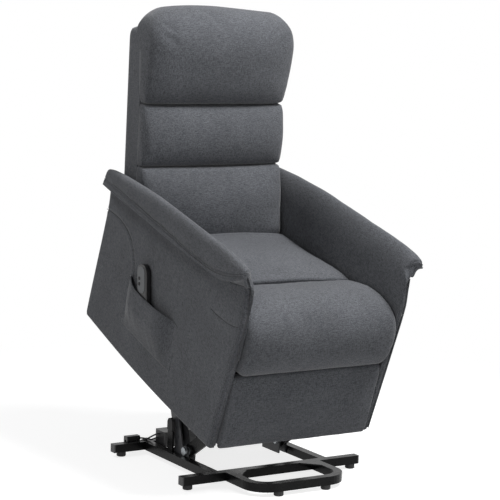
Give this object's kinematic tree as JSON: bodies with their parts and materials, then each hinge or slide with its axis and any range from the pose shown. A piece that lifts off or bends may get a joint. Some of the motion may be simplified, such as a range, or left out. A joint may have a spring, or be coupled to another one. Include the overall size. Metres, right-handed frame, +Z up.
{
  "type": "lift recliner chair",
  "caption": "Padded recliner armchair on a low steel base whose links and actuator tip it forward, with a fold-out footrest, reclining back and pocketed handset.",
  "frame": {"origin": "on the floor, below the middle of the raised chair's outline", "axes": "+X to the occupant's left, -Y to the front, +Z up"},
  "size_m": [0.618, 0.9518, 1.332],
  "materials": {
    "black_steel": "satin powder coat",
    "grey_steel": "satin",
    "zinc": "zinc plated",
    "black_plastic": "fine grain",
    "black_rubber": "matte",
    "grey_plastic": "satin",
    "bare_wood": "bare",
    "grey_fabric": "woven, linen look"
  },
  "bodies": {
    "base": {"front_crossbar": "black_steel", "rear_crossbar": "black_steel", "right_side_rail": "black_steel", "left_side_rail": "black_steel", "front_stabiliser": "black_steel", "tube_end_caps": "black_plastic", "floor_glides": "black_rubber", "right_lift_tower": "grey_steel", "left_lift_tower": "grey_steel", "tower_pivot_bolts": "zinc", "rest_stop_brackets": "black_steel", "rest_stop_pads": "black_rubber", "actuator_base_clevis": "black_steel", "actuator_base_pin": "zinc", "control_box": "black_plastic", "control_box_bracket": "black_steel", "power_inlet": "black_plastic", "supply_leads": "black_rubber"},
    "lower_links": {"right_lower_lift_link": "black_steel", "left_lower_lift_link": "black_steel", "lift_torque_tube": "black_steel"},
    "upper_links": {"right_upper_lift_link": "black_steel", "left_upper_lift_link": "black_steel", "upper_cross_tube": "black_steel"},
    "actuator_body": {"actuator_gearbox": "black_plastic", "actuator_motor": "grey_steel", "actuator_outer_tube": "grey_steel"},
    "actuator_rod_body": {"actuator_rod": "zinc"},
    "chair": {"right_side_plate": "black_steel", "left_side_plate": "black_steel", "front_cross_tube": "black_steel", "rear_cross_tube": "black_steel", "drive_bracket": "black_steel", "chair_pivot_pins": "zinc", "seat_frame": "bare_wood", "seat_springs": "zinc", "seat_cushion": "grey_fabric", "seat_front_roll": "grey_fabric", "right_side_panel": "grey_fabric", "left_side_panel": "grey_fabric", "right_arm_pad": "grey_fabric", "left_arm_pad": "grey_fabric", "rear_skirt": "grey_fabric", "handset_pocket": "grey_fabric"},
    "handset_body": {"handset": "black_plastic"},
    "up_button_body": {"up_button": "grey_plastic"},
    "down_button_body": {"down_button": "grey_plastic"},
    "footrest_drive": {"footrest_drive_links": "black_steel", "footrest_torque_tube": "black_steel"},
    "footrest_carry": {"footrest_carry_links": "black_steel"},
    "footrest_swing": {"footrest_swing_links": "black_steel"},
    "footrest_guide": {"footrest_guide_links": "black_steel"},
    "footrest_panel": {"footrest_board": "bare_wood", "footrest_board_brackets": "black_steel", "footrest_pad": "grey_fabric"},
    "back": {"back_frame": "black_steel", "back_shell": "grey_fabric", "headrest_cushion": "grey_fabric", "middle_cushion": "grey_fabric", "lumbar_cushion": "grey_fabric"}
  },
  "joints": [
    {"name": "lift", "type": "hinge", "parent": "base", "child": "lower_links", "pos_m": [0, 0.0137, 0.052], "axis": [1, 0, 0], "range_deg": [0, 25.75]},
    {"name": "chair_tilt", "type": "hinge", "parent": "lower_links", "child": "chair", "pos_m": [0, -0.21306, 0.19563], "axis": [-1, 0, 0], "range_deg": [0, 43.65]},
    {"name": "upper_link_swing", "type": "hinge", "parent": "base", "child": "upper_links", "pos_m": [0, 0.0997, 0.206], "axis": [1, 0, 0], "range_deg": [0, 23.2]},
    {"name": "actuator_swing", "type": "hinge", "parent": "base", "child": "actuator_body", "pos_m": [0, 0.2317, 0.062], "axis": [1, 0, 0], "range_deg": [0, 11.35]},
    {"name": "actuator_stroke", "type": "slide", "parent": "actuator_body", "child": "actuator_rod_body", "axis": [0, 0.7623, -0.6472], "range_m": [0, 0.0975]},
    {"name": "footrest", "type": "hinge", "parent": "chair", "child": "footrest_drive", "pos_m": [0, -0.20176, 0.35119], "axis": [-1, 0, 0], "range_deg": [0, 95.3]},
    {"name": "footrest_carry_swing", "type": "hinge", "parent": "footrest_drive", "child": "footrest_carry", "pos_m": [0, -0.15243, 0.20246], "axis": [1, 0, 0], "range_deg": [0, 119.2]},
    {"name": "footrest_panel_tilt", "type": "hinge", "parent": "footrest_carry", "child": "footrest_panel", "pos_m": [0, -0.30312, 0.32421], "axis": [-1, 0, 0], "range_deg": [0, 119.2]},
    {"name": "footrest_guide_swing", "type": "hinge", "parent": "footrest_drive", "child": "footrest_guide", "pos_m": [0, -0.16124, 0.22904], "axis": [1, 0, 0], "range_deg": [0, 119.2]},
    {"name": "footrest_swing_turn", "type": "hinge", "parent": "chair", "child": "footrest_swing", "pos_m": [0, -0.16302, 0.39639], "axis": [-1, 0, 0], "range_deg": [0, 88.3]},
    {"name": "recline", "type": "hinge", "parent": "chair", "child": "back", "pos_m": [0, 0.21116, 0.60015], "axis": [-1, 0, 0], "range_deg": [0, 38]},
    {"name": "handset_slide", "type": "slide", "parent": "chair", "child": "handset_body", "axis": [0, 0.0445, 0.999], "range_m": [0, 0.12]},
    {"name": "up_press", "type": "slide", "parent": "handset_body", "child": "up_button_body", "axis": [1, 0, 0], "range_m": [0, 0.001], "stiffness_N_per_m": 1200, "springref_m": -0.0004},
    {"name": "down_press", "type": "slide", "parent": "handset_body", "child": "down_button_body", "axis": [1, 0, 0], "range_m": [0, 0.001], "stiffness_N_per_m": 1200, "springref_m": -0.0004}
  ],
  "couplings": [
    {"joint": "chair_tilt", "follows": "lift", "ratio": 1.6938},
    {"joint": "upper_link_swing", "follows": "lift", "ratio": 0.89981},
    {"joint": "actuator_swing", "follows": "lift", "ratio": 0.43856},
    {"joint": "actuator_stroke", "follows": "lift", "m_per_rad": 0.21619},
    {"joint": "footrest_carry_swing", "follows": "footrest", "ratio": 1.2497},
    {"joint": "footrest_panel_tilt", "follows": "footrest", "ratio": 1.2497},
    {"joint": "footrest_guide_swing", "follows": "footrest", "ratio": 1.2497},
    {"joint": "footrest_swing_turn", "follows": "footrest", "ratio": 0.92518}
  ]
}
